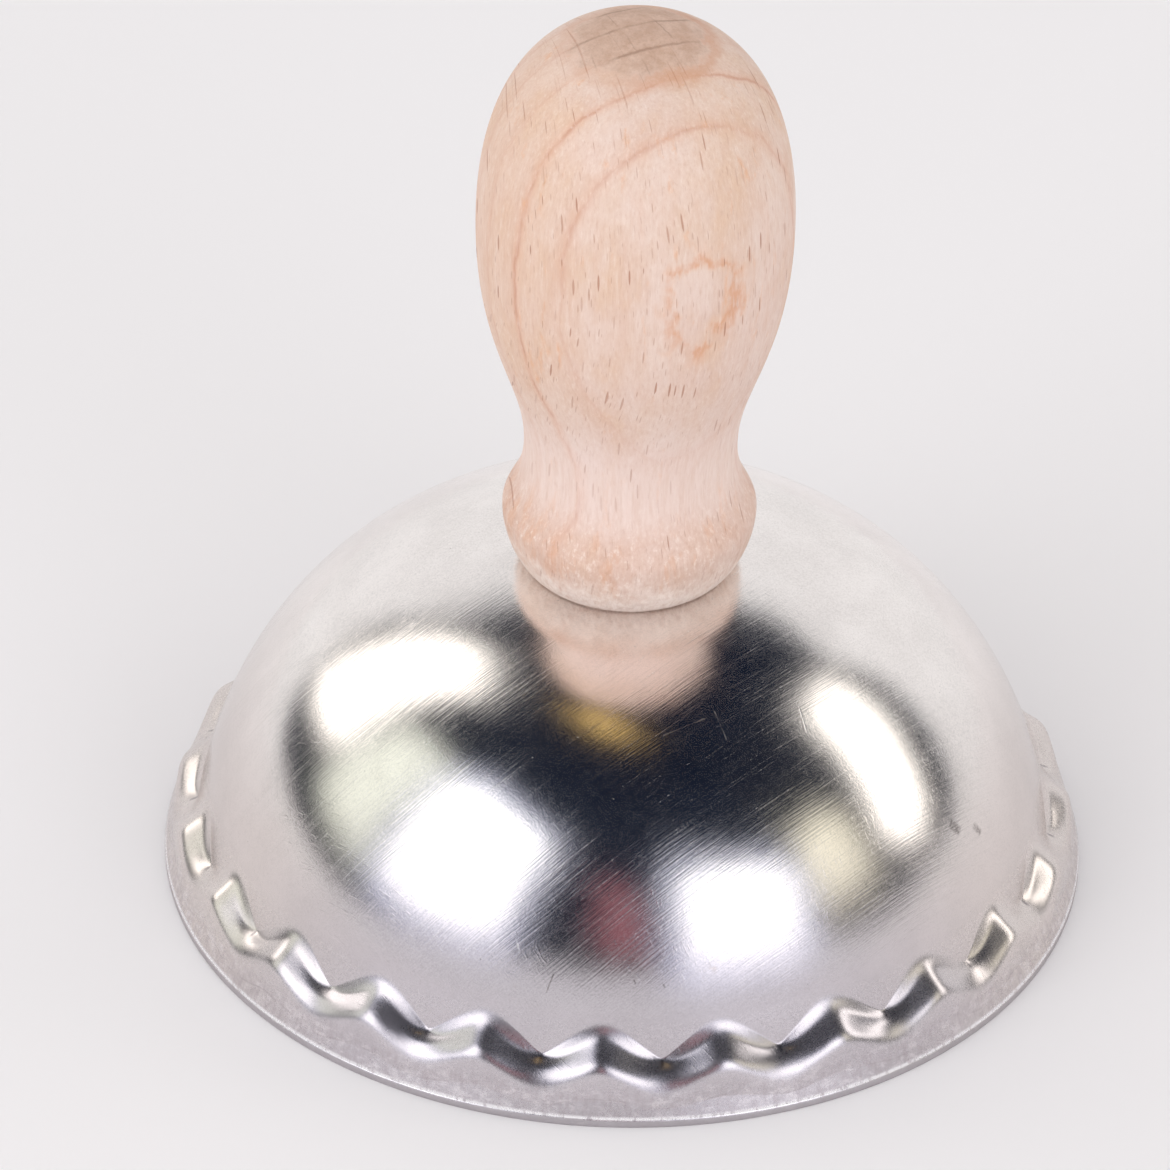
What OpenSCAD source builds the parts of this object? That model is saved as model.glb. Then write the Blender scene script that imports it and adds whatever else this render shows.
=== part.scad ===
// Hand bell with a turned wooden handle, a crimped sheet shell and a swinging clapper.
// Millimetres, +Z up. The origin is the centre of the rim, on the surface that the bell stands on.

/* [Shell] */
// Outer diameter of the rim
rim_d = 100; // [90:0.5:110]
// Thickness of the sheet
sheet = 0.9; // [0.7:0.05:1.1]
// Chamfer on the rim's lower edge
rim_chamfer = 0.12; // [0.05:0.01:0.2]
// How far the foot of the dome's curve stands inside the rim
wall_set_in = 1.3; // [1:0.05:1.8]
// Height of the dome's curve above its own centre
dome_rise = 59.3; // [57:0.1:62]
// Depth of the dome's own centre below the rim
dome_drop = 20; // [18:0.5:22]
// Fullness of the dome's curve, where 2 is an ellipse
dome_power = 2.6; // [2.3:0.05:2.9]
// Diameter of the flat on the crown, where the handle stands
seat_d = 22.4; // [22:0.1:26]

/* [Skirt] */
// Slope of the skirt at the rim, as radius lost for each unit of height
rim_slope = 0.43; // [0.38:0.01:0.48]
// Slope of the skirt at its top, under the scallops
skirt_slope = 0.36; // [0.32:0.01:0.42]

/* [Crimped shoulder] */
// Number of scallops round the shoulder
scallops = 23; // [18:1:28]
// Bearing of one notch between two scallops, in degrees
notch_bearing = -84.2; // [-90:0.1:-75]
// Height of the notches above the rim
notch_z = 6.5; // [6:0.1:7.5]
// Height of the tops of the scallops above the rim
scallop_z = 10.1; // [9:0.1:11]
// Height of the shoulder's foot under a notch
notch_foot_z = 4.3; // [4:0.1:4.8]
// Height of the shoulder's foot under the middle of a scallop
scallop_foot_z = 5; // [4.6:0.1:5.4]
// Shape of the scallops, where lower is rounder
scallop_power = 1.55; // [1.2:0.05:2]
// Lean of the shoulder where it leaves a notch, in degrees from upright
crease_lean = 66; // [62:1:74]
// Lean of the shoulder where it leaves the top of a scallop, in degrees from upright
brow_lean = 40; // [36:1:46]
// Lean of the shoulder at its foot, in degrees from upright
foot_lean = 1; // [0:0.5:4]
// Fullness of the shoulder under a notch, where 0 is a straight bevel
notch_fullness = 0.53; // [0.48:0.01:0.56]
// Fullness of the shoulder under the middle of a scallop
scallop_fullness = 0.42; // [0.3:0.01:0.5]

/* [Handle] */
// Length of the handle
handle_l = 65.65; // [60:0.05:72]
// Diameter of the foot, on the crown
foot_d = 21.7; // [20:0.1:22]
// Diameter of the collar
collar_d = 27.15; // [26:0.05:29]
// Height of the collar's widest place above the foot
collar_h = 6.7; // [6:0.1:7.5]
// Diameter of the neck
neck_d = 22.7; // [20:0.1:24]
// Height of the neck's narrowest place above the foot
neck_h = 14.7; // [13.5:0.1:16]
// Diameter of the head
head_d = 33.45; // [30:0.05:37]
// Height of the head's widest place above the foot
head_h = 42.65; // [40:0.05:45]

/* [Handle's curves] */
// How far the foot's curve sets off outward
foot_swell = 1.2; // [0.8:0.1:1.8]
// How far the foot's curve sets off upward
foot_rise = 0.7; // [0.4:0.1:1]
// Softness of the collar on its lower side
collar_low_soft = 2.85; // [2:0.05:4]
// Softness of the collar on its upper side
collar_high_soft = 1.6; // [1:0.1:2.5]
// Softness of the neck on its lower side
neck_low_soft = 4.9; // [4:0.1:6]
// Softness of the neck on its upper side
neck_high_soft = 8.8; // [7:0.1:10]
// Softness of the head on its lower side
head_low_soft = 15.5; // [13:0.1:17]
// Softness of the head on its upper side
head_high_soft = 12.35; // [10:0.05:14]
// How far the head's end stays nearly flat, from its middle out
end_soft = 12.8; // [10:0.1:14]

/* [Stud and fork] */
// Diameter of the stud's shank
shank_d = 5.5; // [4.5:0.1:6.5]
// Depth of the shank in the handle
shank_depth = 20; // [14:0.5:30]
// Length of the shank's point
shank_point = 3; // [2:0.5:5]
// Diameter of the point's blunt end
shank_tip_d = 1.5; // [1:0.1:2]
// Spare depth of the handle's bore beyond the shank
bore_spare = 1; // [0.5:0.1:2]
// Diameter of the stud's flange
flange_d = 14; // [13:0.5:16]
// Thickness of the stud's flange
flange_t = 1.4; // [1.2:0.1:1.8]
// Diameter of the fork
fork_d = 11; // [10.5:0.1:12]
// Size across the fork's spanner flats
fork_flats = 9.2; // [8.6:0.1:9.6]
// Width of each cheek of the fork
cheek_w = 6.8; // [6.2:0.1:7.4]
// Diameter of the crown washer
washer_d = 16; // [15:0.5:19]
// Thickness of the crown washer
washer_t = 0.8; // [0.6:0.1:1.2]

/* [Clapper] */
// Diameter of the hinge pin
pin_d = 2.6; // [2.2:0.1:2.8]
// Diameter of the pin's head
pin_head_d = 4.4; // [3.8:0.1:5]
// Thickness of the pin's head
pin_head_t = 0.9; // [0.6:0.1:1.2]
// Diameter of the pin's riveted end
pin_rivet_d = 3.8; // [3.4:0.1:4.4]
// Thickness of the pin's riveted end
pin_rivet_t = 0.6; // [0.4:0.1:0.8]
// Outer diameter of the spacers on the pin
spacer_d = 4.8; // [4.2:0.1:5.6]
// Thickness of each spacer
spacer_t = 0.4; // [0.3:0.05:0.5]
// Outer diameter of the rod's eye
eye_d = 5.8; // [5.4:0.1:6.2]
// Thickness of the rod's eye
eye_t = 2.4; // [2:0.1:2.8]
// Diameter of the rod
rod_d = 2.8; // [2.4:0.1:3]
// Depth by which the rod is rooted in its eye
rod_root = 0.6; // [0.4:0.1:0.9]
// Diameter of the ball
ball_d = 16; // [13:0.5:17]
// Depth of the rod in the ball
rod_depth = 11; // [6:0.5:12]
// Spare depth of the ball's bore beyond the rod
rod_spare = 0.5; // [0.3:0.1:1]
// Size across the flats of the lock nut
nut_flats = 5.5; // [5:0.1:6]
// Thickness of the lock nut
nut_t = 1.8; // [1.4:0.1:2.4]
// Width of the ball's flat land round the lock nut
land_w = 0.3; // [0.1:0.05:0.5]

/* [Fits] */
// Running clearance between the hinge pin and the rod's eye, on the radius
pin_clearance = 0.05; // [0.02:0.01:0.1]
// Clearance of fixed pieces in their holes, on the radius
fixed_clearance = 0.05; // [0.02:0.01:0.1]
// Side play of the rod's eye between the spacers, on each side
side_play = 0.3; // [0.2:0.05:0.4]
// Gap between the rod's eye and the fork's throat
throat_gap = 0.3; // [0.2:0.05:0.6]
// Height of the ball above the rim's level
ball_clearance = 2; // [1.5:0.1:3]
// Clearance of the shank in the crown's hole and the washer, on the radius
hole_clearance = 0.2; // [0.1:0.05:0.4]
// Gap under the lock nut
nut_gap = 0.05; // [0.02:0.01:0.1]

/* [Hidden] */
$fn = 96;

// Cuts run past the faces that they open by this much
spare = 1;
// Solids that are joined run into each other by this much
lap = 0.01;

// Shell
rim_r = rim_d / 2;
dome_r = rim_r - wall_set_in;
seat_z = dome_z(seat_d / 2);
crown_z = seat_z - sheet;
hole_d = shank_d + 2 * hole_clearance;
// The skirt's own top edge lies this share of the way from the scallops' feet up to the notches
skirt_top_share = 0.24;
skirt_top_z = blend(scallop_foot_z, notch_z, skirt_top_share);
dome_steps = 48;
skirt_steps = 6;
steps_per_scallop = 8;
scallop_steps = scallops * steps_per_scallop;
shoulder_steps = 8;
// The ring of scallops runs this far into the wall and the skirt, and this far in from the wall
ring_bite = 0.3;
ring_w = 8;
ring_core_r = dome_r - ring_w;

// Handle
bore_d = shank_d + 2 * fixed_clearance;
bore_point = bore_d / 3;
collar_steps = 12;
neck_steps = 16;
head_steps = 24;

// Stud, fork and clapper, from the crown down
washer_z = crown_z - washer_t;
throat_z = washer_z - flange_t;
pivot_z = throat_z - throat_gap - eye_d / 2;
slot_w = eye_t + 2 * (side_play + spacer_t);
spacer_y = eye_t / 2 + side_play;
ball_z = ball_clearance + ball_d / 2;
nut_corner_d = nut_flats / cos(30);
land_z = ball_z + sqrt(pow(ball_d / 2, 2) - pow(nut_corner_d / 2 + land_w, 2));
nut_z = land_z + nut_gap;
rod_end_z = land_z - rod_depth;

// Cubic curves from a to d, with b and c as their grips

// The point at a share t of the way along
function curve_point(a, b, c, d, t) =
    pow(1 - t, 3) * a + 3 * pow(1 - t, 2) * t * b + 3 * (1 - t) * t * t * c + pow(t, 3) * d;
// The way that the curve runs there
function curve_way(a, b, c, d, t) =
    pow(1 - t, 2) * (b - a) + 2 * (1 - t) * t * (c - b) + t * t * (d - c);
// Points from a to d, without a itself
function curve(a, b, c, d, steps) =
    [for (i = [1 : steps]) curve_point(a, b, c, d, i / steps)];

// Shell: the dome's outer curve

// Outer radius of the dome at a height
function dome_radius(z) =
    dome_r * pow(1 - pow((z + dome_drop) / dome_rise, dome_power), 1 / dome_power);
// Height of the dome's outer curve at a radius
function dome_z(r) =
    dome_rise * pow(1 - pow(r / dome_r, dome_power), 1 / dome_power) - dome_drop;
// Unit normal of the dome's curve, outward, at a radius and height
function dome_normal(r, z) =
    let (n = [pow(r, dome_power - 1) / pow(dome_r, dome_power),
              pow(z + dome_drop, dome_power - 1) / pow(dome_rise, dome_power)])
    n / norm(n);
// The dome's curve by its own angle, which rises from the wall to the crown
function dome_point(a) =
    [dome_r * pow(cos(a), 2 / dome_power), dome_rise * pow(sin(a), 2 / dome_power) - dome_drop];
function dome_angle(z) = asin(pow((z + dome_drop) / dome_rise, dome_power / 2));
// Radius of the wall at a height, set in by a share of the sheet
function wall_radius(z, inset) =
    let (r = dome_radius(z))
    r - inset / dome_normal(r, z)[0];

// Shell: the skirt, nearly a cone, down to the rim

// Radius that the skirt loses for each unit of height, at a height
function skirt_loss(z) = blend(rim_slope, skirt_slope, (z - sheet) / (skirt_top_z - sheet));
function skirt_lean(z) = atan(skirt_loss(z));
// Outer radius of the skirt at a height, set in by a share of the sheet
function skirt_radius(z, inset) =
    rim_r - (z - sheet) * (rim_slope + skirt_loss(z)) / 2 - inset / cos(skirt_lean(z));

// Shell: the ring of scallops between them

// Swell of the shoulder at a bearing: 0 in a notch and 1 on a scallop
function swell(bearing) = abs(sin(scallops * (bearing - notch_bearing) / 2));
function blend(from, to, share) = from + (to - from) * share;
// Way out and down along a face that leans by an angle from upright, and that face's outward normal
function lean_way(angle) = [sin(angle), -cos(angle)];
function lean_normal(angle) = [cos(angle), sin(angle)];
// Length by which the ring runs on into a face that it crosses at an angle
function run_in(inset, angle) = (ring_bite + inset * (1 - cos(angle))) / sin(angle);

// Section through the ring at a bearing: out of the wall, over the shoulder and into the skirt
function ring_section(bearing, inset) =
    let (
        s = swell(bearing),
        top_z = blend(notch_z, scallop_z, pow(s, scallop_power)),
        foot_z = blend(notch_foot_z, scallop_foot_z, s * s),
        top = [dome_radius(top_z), top_z],
        foot = [skirt_radius(foot_z, 0), foot_z],
        top_lean = blend(crease_lean, brow_lean, s * s),
        wall_lean = asin(dome_normal(top[0], top_z)[1]),
        reach = norm(foot - top) * blend(notch_fullness, scallop_fullness, s),
        top_grip = top + reach * lean_way(top_lean),
        foot_grip = foot - reach * lean_way(foot_lean),
        start = top - inset * lean_normal(top_lean)
                - run_in(inset, top_lean - wall_lean) * lean_way(top_lean),
        end = foot - inset * lean_normal(foot_lean)
              + run_in(inset, skirt_lean(foot_z) - foot_lean) * lean_way(foot_lean)
    )
    concat(
        [[ring_core_r, start[1]], start],
        [for (i = [1 : shoulder_steps - 1])
            let (
                t = i / shoulder_steps,
                way = curve_way(top, top_grip, foot_grip, foot, t)
            )
            curve_point(top, top_grip, foot_grip, foot, t) + inset * [way[1], -way[0]] / norm(way)],
        [end, [ring_core_r, end[1]]]
    );

module scallop_ring(inset) {
    bearings = [for (i = [0 : scallop_steps - 1]) notch_bearing + 360 * i / scallop_steps];
    rows = len(ring_section(0, inset));
    points = [for (b = bearings, p = ring_section(b, inset)) [p[0] * cos(b), p[0] * sin(b), p[1]]];
    faces = [for (i = [0 : scallop_steps - 1], j = [0 : rows - 1])
        let (i2 = (i + 1) % scallop_steps, j2 = (j + 1) % rows)
        each [[i * rows + j, i2 * rows + j, i * rows + j2],
              [i2 * rows + j, i2 * rows + j2, i * rows + j2]]];
    polyhedron(points, faces);
}

// The bell's form without its scallops, solid: set in by the sheet it is the hollow inside
module plain_form(inset) {
    step_z = skirt_top_z - inset * sin(skirt_lean(skirt_top_z));
    foot = inset == 0
        ? [[rim_r - rim_chamfer, 0], [rim_r, rim_chamfer]]
        : [[skirt_radius(0, inset), -spare], [skirt_radius(0, inset), 0]];
    low = dome_angle(step_z);
    high = dome_angle(seat_z);
    wall = [for (i = [0 : dome_steps])
        let (p = dome_point(blend(low, high, i / dome_steps)))
        p - inset * dome_normal(p[0], p[1])];
    rotate_extrude()
        polygon(concat(
            [[0, foot[0][1]]],
            foot,
            [for (i = [0 : skirt_steps])
                let (z = blend(sheet, step_z, i / skirt_steps))
                [skirt_radius(z, inset), z]],
            [[wall_radius(step_z, inset), step_z]],
            [for (p = wall) if (p[1] > step_z + lap && p[1] < seat_z - inset - lap) p],
            [[crown_radius(inset), seat_z - inset], [0, seat_z - inset]]));
}

// Radius at which the dome's curve meets the flat of the crown
function crown_radius(inset) =
    let (n = dome_normal(seat_d / 2, seat_z))
    dome_radius(seat_z - inset * (1 - n[1])) - inset * n[0];

module bell_shell() {
    color([0.80, 0.80, 0.81])
    difference() {
        union() {
            plain_form(0);
            scallop_ring(0);
        }
        union() {
            plain_form(sheet);
            scallop_ring(sheet);
        }
        translate([0, 0, crown_z - spare])
            cylinder(d = hole_d, h = sheet + 2 * spare);
    }
}

// Handle

module handle() {
    foot = [foot_d / 2, 0];
    collar = [collar_d / 2, collar_h];
    neck = [neck_d / 2, neck_h];
    head = [head_d / 2, head_h];
    top = [0, handle_l];
    profile = concat(
        [[0, 0], foot],
        curve(foot, foot + [foot_swell, foot_rise], collar - [0, collar_low_soft], collar, collar_steps),
        curve(collar, collar + [0, collar_high_soft], neck - [0, neck_low_soft], neck, neck_steps),
        curve(neck, neck + [0, neck_high_soft], head - [0, head_low_soft], head, head_steps),
        curve(head, head + [0, head_high_soft], top + [end_soft, 0], top, head_steps));
    color([0.90, 0.80, 0.74])
    translate([0, 0, seat_z])
    difference() {
        rotate_extrude()
            polygon(profile);
        translate([0, 0, -spare])
            cylinder(d = bore_d, h = shank_depth + bore_spare + spare);
        translate([0, 0, shank_depth + bore_spare - lap])
            cylinder(d1 = bore_d, d2 = 0, h = bore_point);
    }
}

// Stud and fork

module crown_washer() {
    color([0.45, 0.33, 0.24])
    translate([0, 0, washer_z])
    difference() {
        cylinder(d = washer_d, h = washer_t);
        translate([0, 0, -spare])
            cylinder(d = hole_d, h = washer_t + 2 * spare);
    }
}

// The fork's two cheeks, round at their lower ends and flat outside
module fork_cheeks() {
    difference() {
        intersection() {
            translate([0, 0, pivot_z - cheek_w / 2])
                cylinder(d = fork_d, h = throat_z - pivot_z + cheek_w / 2);
            union() {
                translate([0, fork_flats / 2, pivot_z])
                    rotate([90, 0, 0])
                    cylinder(d = cheek_w, h = fork_flats);
                translate([-cheek_w / 2, -fork_flats / 2, pivot_z])
                    cube([cheek_w, fork_flats, throat_z - pivot_z]);
            }
        }
        translate([-fork_d, -slot_w / 2, pivot_z - fork_d])
            cube([2 * fork_d, slot_w, throat_z - pivot_z + fork_d]);
    }
}

module crown_stud() {
    color([0.70, 0.71, 0.73])
    difference() {
        union() {
            fork_cheeks();
            translate([0, 0, throat_z])
                cylinder(d = flange_d, h = flange_t);
            translate([0, 0, washer_z - lap])
                cylinder(d = shank_d, h = seat_z + shank_depth - shank_point - washer_z + lap);
            translate([0, 0, seat_z + shank_depth - shank_point])
                cylinder(d1 = shank_d, d2 = shank_tip_d, h = shank_point);
        }
        translate([0, fork_d, pivot_z])
            rotate([90, 0, 0])
            cylinder(d = pin_d + 2 * fixed_clearance, h = 2 * fork_d);
    }
}

module clapper_pin() {
    color([0.62, 0.63, 0.65])
    translate([0, 0, pivot_z])
    rotate([90, 0, 0])
    translate([0, 0, -fork_flats / 2])
    union() {
        cylinder(d = pin_d, h = fork_flats);
        translate([0, 0, fork_flats])
            cylinder(d = pin_head_d, h = pin_head_t);
        translate([0, 0, -pin_rivet_t])
            cylinder(d = pin_rivet_d, h = pin_rivet_t);
    }
}

module pin_spacers() {
    color([0.74, 0.62, 0.38])
    for (side = [0, 1])
        translate([0, 0, pivot_z])
        rotate([90, 0, side * 180])
        translate([0, 0, spacer_y])
        difference() {
            cylinder(d = spacer_d, h = spacer_t);
            translate([0, 0, -spare])
                cylinder(d = pin_d + 2 * fixed_clearance, h = spacer_t + 2 * spare);
        }
}

// Clapper

module clapper_rod() {
    color([0.70, 0.71, 0.73])
    difference() {
        union() {
            translate([0, eye_t / 2, pivot_z])
                rotate([90, 0, 0])
                cylinder(d = eye_d, h = eye_t);
            translate([0, 0, rod_end_z])
                cylinder(d = rod_d, h = pivot_z - eye_d / 2 + rod_root - rod_end_z);
        }
        translate([0, eye_d, pivot_z])
            rotate([90, 0, 0])
            cylinder(d = pin_d + 2 * pin_clearance, h = 2 * eye_d);
    }
}

module clapper_ball() {
    color([0.78, 0.62, 0.32])
    difference() {
        translate([0, 0, ball_z])
            sphere(d = ball_d);
        translate([0, 0, rod_end_z - rod_spare])
            cylinder(d = rod_d + 2 * fixed_clearance, h = ball_d);
        translate([0, 0, land_z])
            cylinder(d = ball_d, h = ball_d);
    }
}

module ball_lock_nut() {
    color([0.74, 0.62, 0.38])
    translate([0, 0, nut_z])
    difference() {
        cylinder(d = nut_corner_d, h = nut_t, $fn = 6);
        translate([0, 0, -spare])
            cylinder(d = rod_d + 2 * fixed_clearance, h = nut_t + 2 * spare);
    }
}

handle();
bell_shell();
crown_washer();
crown_stud();
clapper_pin();
pin_spacers();
clapper_rod();
clapper_ball();
ball_lock_nut();
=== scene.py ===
"""Hand bell: crimped aluminium shell, turned beech handle and swinging clapper, on a pale table."""
import math

import bpy
import numpy as np
from mathutils import Matrix, Vector


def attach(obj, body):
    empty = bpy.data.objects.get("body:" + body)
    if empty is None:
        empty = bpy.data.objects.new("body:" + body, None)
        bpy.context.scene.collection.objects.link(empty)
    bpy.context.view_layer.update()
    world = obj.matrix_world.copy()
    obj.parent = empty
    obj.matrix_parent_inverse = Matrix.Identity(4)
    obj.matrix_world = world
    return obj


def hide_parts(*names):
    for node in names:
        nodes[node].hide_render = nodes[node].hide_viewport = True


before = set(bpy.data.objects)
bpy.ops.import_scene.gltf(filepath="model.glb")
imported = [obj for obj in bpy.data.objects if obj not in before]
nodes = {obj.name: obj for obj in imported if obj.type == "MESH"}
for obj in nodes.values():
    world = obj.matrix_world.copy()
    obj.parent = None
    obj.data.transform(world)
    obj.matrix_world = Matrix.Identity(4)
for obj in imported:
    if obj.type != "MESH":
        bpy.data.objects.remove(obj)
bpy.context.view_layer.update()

MM = 0.001

# ---------------------------------------------------- sizes, in millimetres
# they are the CAD's own, but for the shoulder's and the burr's, which are finer here
RIM_R = 50.0
SHEET = 0.9
DOME_R = 48.7
DOME_RISE = 59.3
DOME_DROP = 20.0
DOME_POWER = 2.6
SEAT_R = 11.2
HOLE_R = 2.95
RIM_CHAMFER = 0.12
BURR = 0.3
SKIRT_SLOPE = 0.36

SCALLOPS = 23
NOTCH_BEARING = -84.2

# the shoulder's section at a notch and at a scallop's middle: heights, then leans from upright
NOTCH = {"top_z": 6.3, "middle": (47.95, 5.4), "foot_z": 2.2, "leans": (60, 46, 15)}
SCALLOP = {"top_z": 10.0, "middle": (47.9, 7.35), "foot_z": 3.1, "leans": (23, 51, 5)}

# how far the shoulder's curves reach out from their ends, as shares of their span
BROW_GRIPS = 0.35, 0.35
PILLOW_GRIPS = 0.40, 0.42

# how far the wave round the shoulder is rounded off: at the notches' top and further down, and at
# the scallops' top, middle and foot; and the share of the brow over which the top's values give way
NOTCH_ROUNDING = 0.05, 0.7
RIDGE_ROUNDING = 0.43, 0.32, 0.66
SHARP_ROWS = 0.45

# how soft the bend is where the dome meets the shoulder: at a notch, and at a scallop's middle
CREASE_SOFTNESS = 0.08, 0.3
SOFTENING_SWELLS = 0.4, 1.0

HANDLE_L = 65.65
FOOT_R = 10.85
COLLAR_R, COLLAR_H = 13.575, 6.7
NECK_R, NECK_H = 11.35, 14.7
HEAD_R, HEAD_H = 16.725, 42.65
BORE_R, BORE_DEPTH = 2.8, 21.0

# how far the handle's curves reach out from their ends: at the foot, outward and up; at the
# collar, neck and head, down and up; and at the top, outward
FOOT_REACH = 1.2, 0.7
COLLAR_REACH = 2.85, 1.6
NECK_REACH = 4.9, 8.8
HEAD_REACH = 15.5, 12.35
TOP_REACH = 12.8

# ---------------------------------------------------- how finely the meshes are divided
DOME_ROWS, BROW_ROWS, PILLOW_ROWS, SKIRT_ROWS, BURR_ROWS = 60, 16, 22, 10, 5
DOME_CROWDING = 1.6
SHELL_COLUMNS = SCALLOPS * 24
HANDLE_COLUMNS = 160
HANDLE_ROWS = 20, 26, 40, 44
# the handle's mesh ends in a tiny flat cap on the axis
POLE_R = 0.1


# ---------------------------------------------------- shapes

def lerp(a, b, share):
    return a + (b - a) * share


def smoothstep(low, high, value):
    share = np.clip((value - low) / (high - low), 0, 1)
    return share * share * (3 - 2 * share)


def cubic(a, b, c, d, t):
    """Points at the shares t of a cubic curve from a to d, with b and c as its grips."""
    return (1 - t) ** 3 * a + 3 * (1 - t) ** 2 * t * b + 3 * (1 - t) * t * t * c + t ** 3 * d


def curve(a, b, c, d, steps):
    """Evenly spaced points on a cubic curve, without its start."""
    t = np.linspace(0, 1, steps + 1)[1:, None]
    return cubic(*(np.array(p, float) for p in (a, b, c, d)), t)


def lean_of(angle):
    """The direction out and down along a face that leans by that angle from upright."""
    return np.stack([np.sin(angle), -np.cos(angle)], axis=-1)


def bend(start, start_lean, end, end_lean, t, grips):
    """Points at the shares t of curves between two places and leans, one curve for each t."""
    span = np.linalg.norm(end - start, axis=-1)[:, None]
    start_grip = start + grips[0] * span * lean_of(start_lean)
    end_grip = end - grips[1] * span * lean_of(end_lean)
    return cubic(start, start_grip, end_grip, end, t[:, None])


def smoothed(r, z, centre, softness):
    """Rounds a profile's corner: points become the average of their neighbours within softness."""
    s = np.concatenate([[0], np.cumsum(np.hypot(np.diff(r), np.diff(z)))])
    reach = softness * np.exp(-((s - s[centre]) / (3 * softness)) ** 2)
    offsets = np.linspace(-2, 2, 17)
    weights = np.exp(-offsets ** 2 / 2)
    weights /= weights.sum()
    places = s[:, None] + reach[:, None] * offsets
    return (np.interp(places, s, r) @ weights, np.interp(places, s, z) @ weights)


def add_mesh(name, points, faces, material):
    """A new object of these points, in metres, and faces."""
    mesh = bpy.data.meshes.new(name)
    mesh.from_pydata(points, [], faces)
    mesh.materials.append(material)
    made = bpy.data.objects.new(name, mesh)
    bpy.context.scene.collection.objects.link(made)
    return made


def surface(name, points, closed_rows, material):
    """A smooth mesh of a grid of points [column, row], whose columns go round and close.

    Its rows close too, or end in a small flat cap at each end.
    """
    columns, rows = points.shape[:2]
    index = np.arange(columns * rows).reshape(columns, rows)
    caps = [] if closed_rows else [index[:, 0].tolist(), index[::-1, -1].tolist()]
    across = np.roll(index, -1, axis=0)
    if closed_rows:
        down, across_down = np.roll(index, -1, axis=1), np.roll(across, -1, axis=1)
    else:
        down, across_down = index[:, 1:], across[:, 1:]
        index, across = index[:, :-1], across[:, :-1]
    faces = np.stack([index, down, across_down, across], axis=-1).reshape(-1, 4)

    # the faces are turned outward
    corners = points.reshape(-1, 3)[faces]
    diagonals = np.cross(corners[:, 2] - corners[:, 0], corners[:, 3] - corners[:, 1])
    if (diagonals * corners.mean(axis=1)).sum() < 0:
        faces = faces[:, ::-1]
        caps = [cap[::-1] for cap in caps]

    piece = add_mesh(name, (points.reshape(-1, 3) * MM).tolist(), faces.tolist() + caps, material)
    polygons = piece.data.polygons
    polygons.foreach_set("use_smooth", [True] * len(polygons))
    piece.data.update()
    return piece


def turned(profile, bearing):
    """A profile of (radius, height) points, stood up at a bearing in radians."""
    r, z = profile.T
    return np.stack([r * math.cos(bearing), r * math.sin(bearing), z], axis=-1)


# ---------------------------------------------------- shell

def dome_radius(z):
    """The dome's curve is a superellipse whose middle lies DOME_DROP below the table."""
    return DOME_R * (1 - ((z + DOME_DROP) / DOME_RISE) ** DOME_POWER) ** (1 / DOME_POWER)


def dome_z(r):
    """The height of the same curve at a distance from the axis."""
    return DOME_RISE * (1 - (r / DOME_R) ** DOME_POWER) ** (1 / DOME_POWER) - DOME_DROP


SEAT_Z = dome_z(SEAT_R)


def skirt_radius(z):
    """The skirt is a cone."""
    return RIM_R - (z - SHEET) * SKIRT_SLOPE


def rounded(share, rounding):
    """A share from 0 to 1 that leaves 0 gently, the more so the larger the rounding."""
    return (np.hypot(share, rounding) - rounding) / (np.hypot(1, rounding) - rounding)


def wave(swell, notch_rounding, ridge_rounding):
    """0 at a notch and 1 at a scallop's middle, nearly straight between them."""
    way = math.asin(min(swell, 1)) * 2 / math.pi
    return 1 - rounded(1 - rounded(way, notch_rounding), ridge_rounding)


def shoulder_profile(swell):
    """The shoulder at a bearing: a sharp crease at the notches, which smooths out on the way down.

    Its upper part is the brow, and its lower part the pillow.
    """
    rows = np.arange(BROW_ROWS + PILLOW_ROWS + 1)
    brow = np.minimum(rows / BROW_ROWS, 1)
    pillow = np.maximum((rows - BROW_ROWS) / PILLOW_ROWS, 0)
    down = smoothstep(0, SHARP_ROWS, brow)
    ridge_top, ridge_middle, ridge_foot = RIDGE_ROUNDING
    ridge = lerp(lerp(ridge_top, ridge_middle, down), ridge_foot, pillow)
    share = wave(swell, lerp(*NOTCH_ROUNDING, down), ridge)

    notch_leans, scallop_leans = (np.array(part["leans"])[:, None] for part in (NOTCH, SCALLOP))
    leans = np.radians(lerp(notch_leans, scallop_leans, share))
    top_z = lerp(NOTCH["top_z"], SCALLOP["top_z"], share)
    top = np.stack([dome_radius(top_z), top_z], axis=-1)
    middle = lerp(np.array(NOTCH["middle"]), np.array(SCALLOP["middle"]), share[:, None])
    foot_z = lerp(NOTCH["foot_z"], SCALLOP["foot_z"], lerp(share, swell ** 2, pillow))
    foot = np.stack([skirt_radius(foot_z), foot_z], axis=-1)
    upper = bend(top, leans[0], middle, leans[1], brow, BROW_GRIPS)
    lower = bend(middle, leans[1], foot, leans[2], pillow, PILLOW_GRIPS)
    return np.where(rows[:, None] <= BROW_ROWS, upper, lower)


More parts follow.
